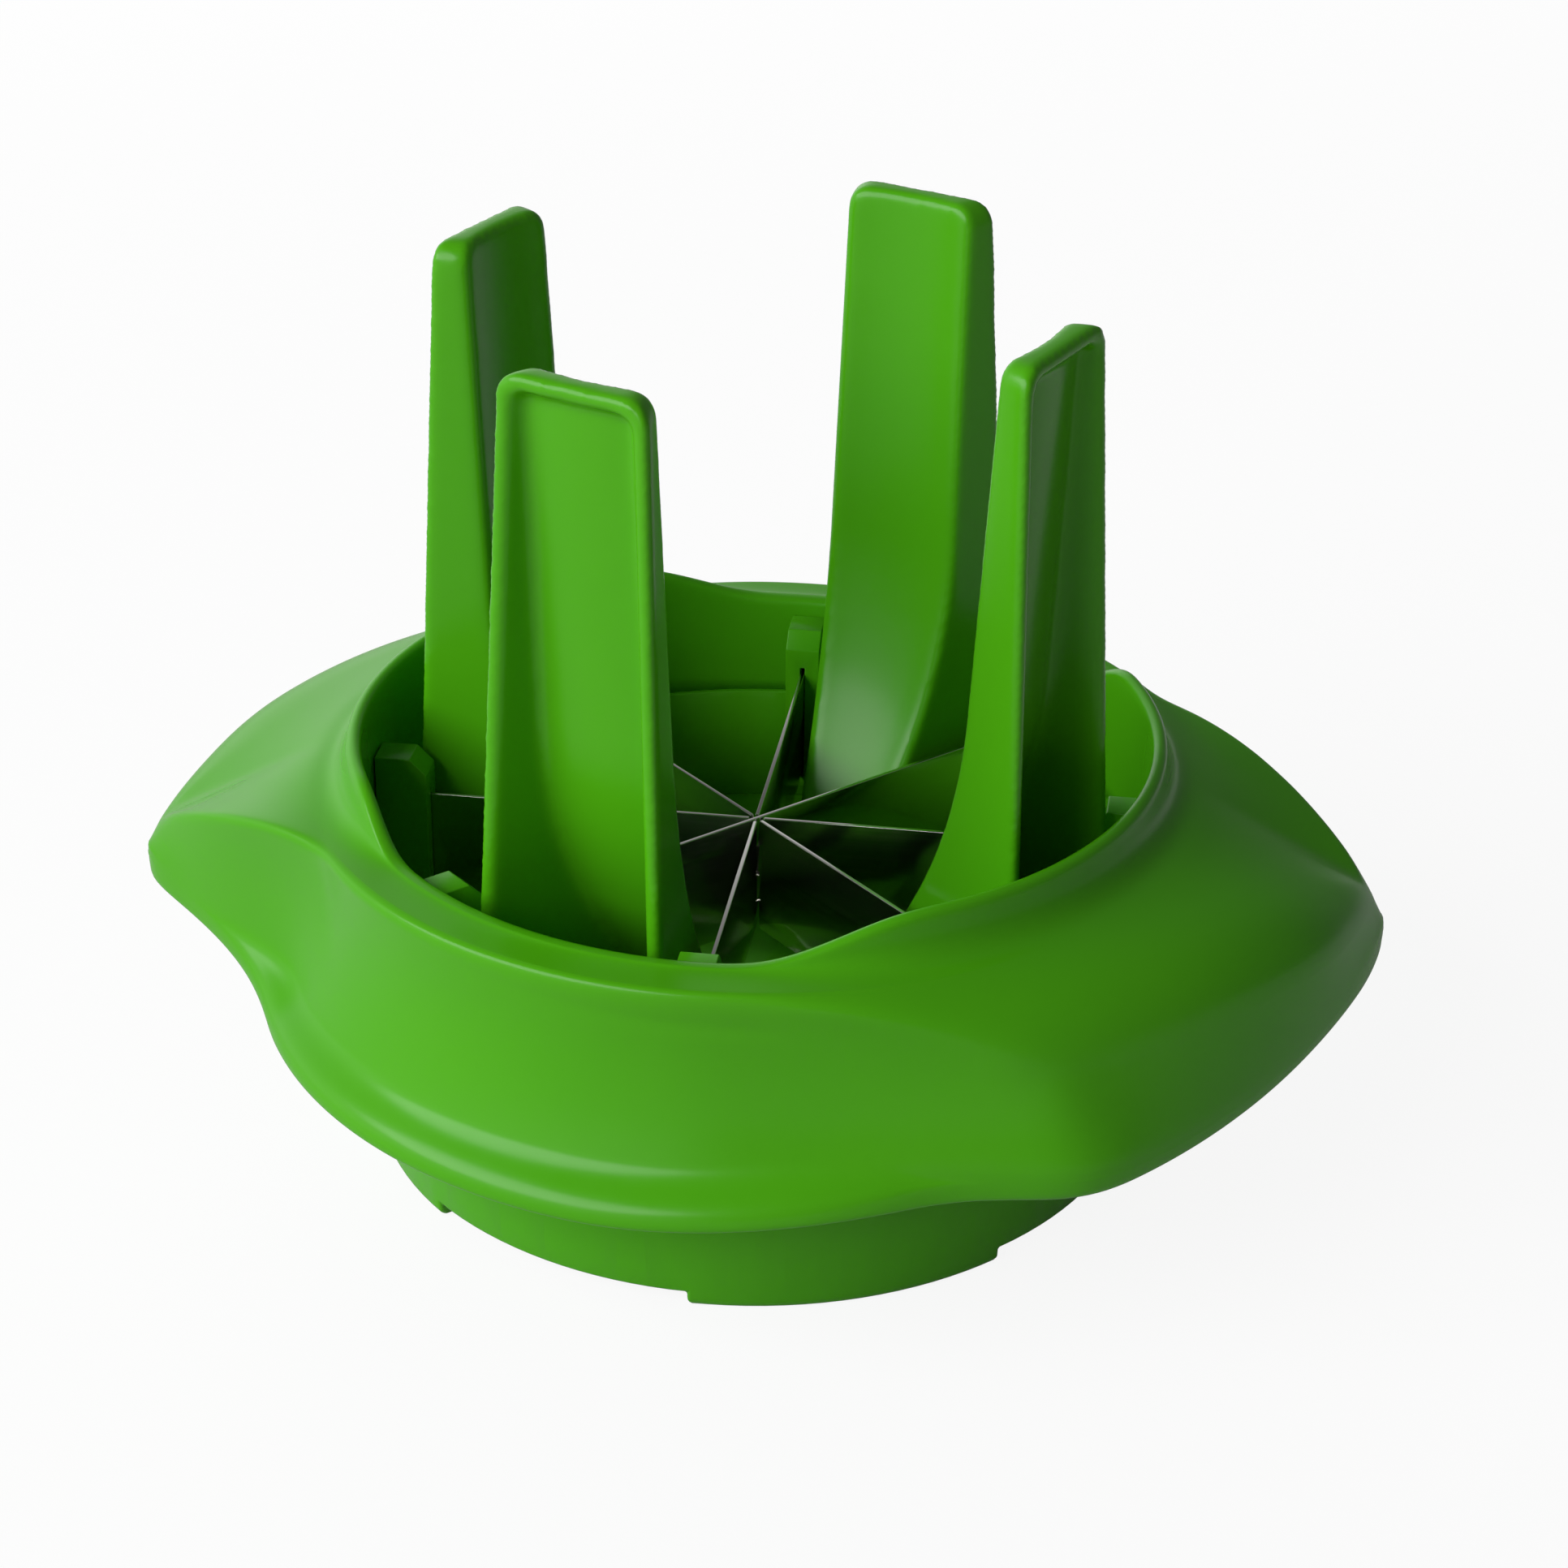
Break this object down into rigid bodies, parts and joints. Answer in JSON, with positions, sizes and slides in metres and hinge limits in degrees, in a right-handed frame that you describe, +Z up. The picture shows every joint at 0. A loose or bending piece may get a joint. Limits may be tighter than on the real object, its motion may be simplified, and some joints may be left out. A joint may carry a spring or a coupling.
{
  "type": "citrus slicer",
  "caption": "Push-down citrus slicer: a winged plastic cutter with a star of steel blades slides down over posts on a round stand and cuts the fruit into wedges.",
  "frame": {"origin": "on the table, on the axis of the round well", "axes": "+Z up along the axis on which the cutter slides, +X towards one wing tip"},
  "size_m": [0.1514, 0.1206, 0.1067],
  "materials": {
    "green_plastic": "polished moulded plastic",
    "blade_steel": "ground strip",
    "screw_steel": "plain zinc"
  },
  "bodies": {
    "stand": {"stand_base": "green_plastic", "post_1": "green_plastic", "post_2": "green_plastic", "post_3": "green_plastic", "post_4": "green_plastic", "post_screws": "screw_steel"},
    "cutter": {"cutter_shell": "green_plastic", "blade_ring": "green_plastic", "blade_1": "blade_steel", "blade_2": "blade_steel", "blade_3": "blade_steel", "blade_4": "blade_steel"}
  },
  "joints": [
    {"name": "cutter_lift", "type": "slide", "parent": "stand", "child": "cutter", "axis": [0, 0, 1], "range_m": [0, 0.095]}
  ]
}
